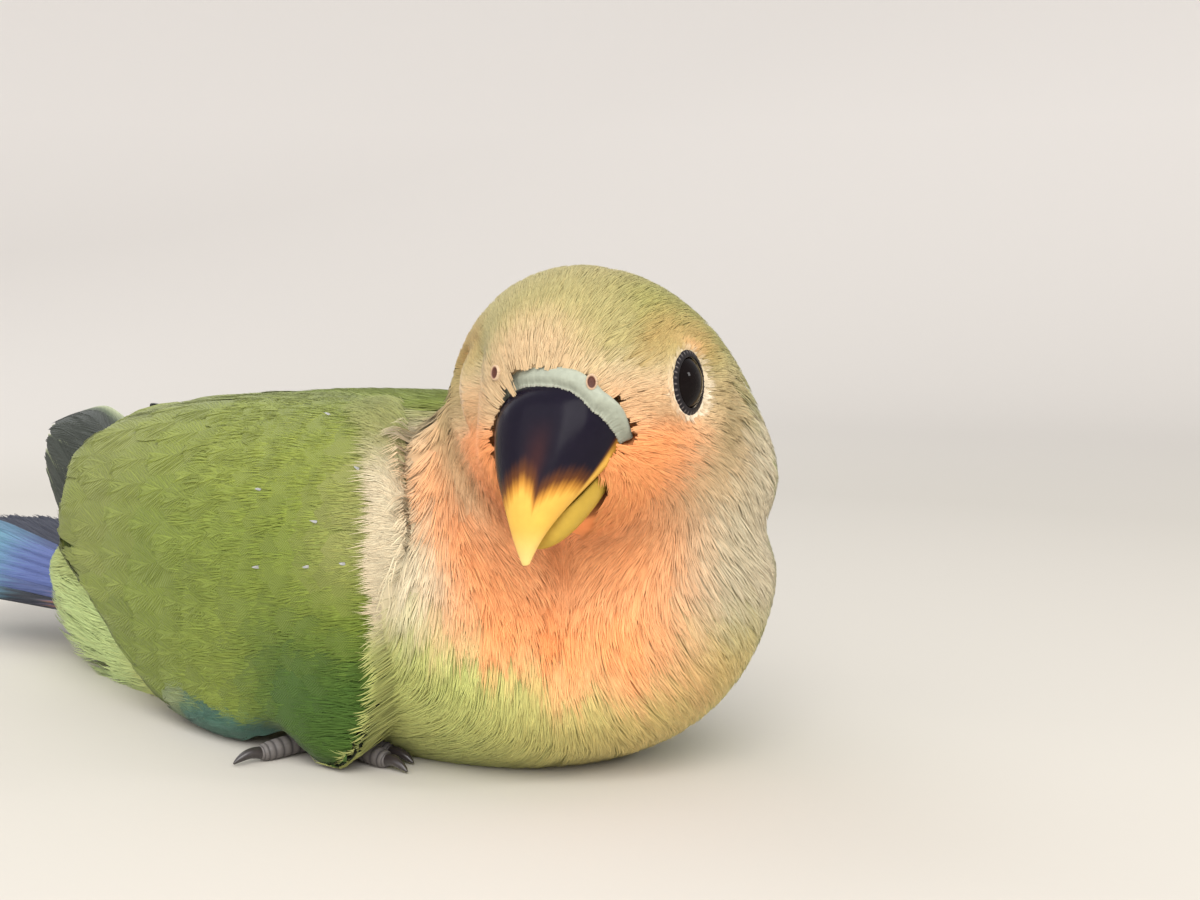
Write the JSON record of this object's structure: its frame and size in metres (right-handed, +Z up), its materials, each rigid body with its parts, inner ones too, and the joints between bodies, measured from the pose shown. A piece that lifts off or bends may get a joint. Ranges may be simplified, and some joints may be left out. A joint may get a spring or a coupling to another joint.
{
  "type": "lovebird figure",
  "caption": "Life-size young lovebird crouched on its belly with its head turned to its right, wings folded and tail slightly raised, as a still museum model.",
  "frame": {"origin": "on the floor under the middle of the whole bird's box", "axes": "+Z up; the bird's breast faces -Y and its tail +Y; +X is its left"},
  "size_m": [0.0572, 0.15, 0.0543],
  "materials": {
    "body_feathers": "soft overlapping body feathers, yellow-green below and moss green above",
    "face_feathers": "fine hair-like feathers, peach on face and throat, olive green on the crown",
    "wing_feathers": "moss-green coverts and inner flight feathers",
    "flight_feathers": "blackish long flight feathers with green outer edges",
    "tail_feathers": "green and blue tail feathers with an orange patch and a dark band",
    "bill_horn": "glossy horn, blackish at the base and yellow at the tip",
    "cere_skin": "pale flaky skin over the bill's base",
    "eye": "near-black wet eye",
    "foot_skin": "grey scaly skin",
    "claw_horn": "dark horn"
  },
  "bodies": {
    "root": {"head": "face_feathers", "neck": "body_feathers", "trunk": "body_feathers", "bill_upper": "bill_horn", "bill_lower": "bill_horn", "cere": "cere_skin", "eye_left": "eye", "eye_right": "eye", "wing_left": "wing_feathers", "wing_right": "wing_feathers", "primaries_left": "flight_feathers", "primaries_right": "flight_feathers", "tail": "tail_feathers", "leg_left": "body_feathers", "leg_right": "body_feathers", "foot_left": "foot_skin", "foot_right": "foot_skin", "claw_left_1": "claw_horn", "claw_left_2": "claw_horn", "claw_left_3": "claw_horn", "claw_left_4": "claw_horn", "claw_right_1": "claw_horn", "claw_right_2": "claw_horn", "claw_right_3": "claw_horn", "claw_right_4": "claw_horn"}
  },
  "joints": []
}
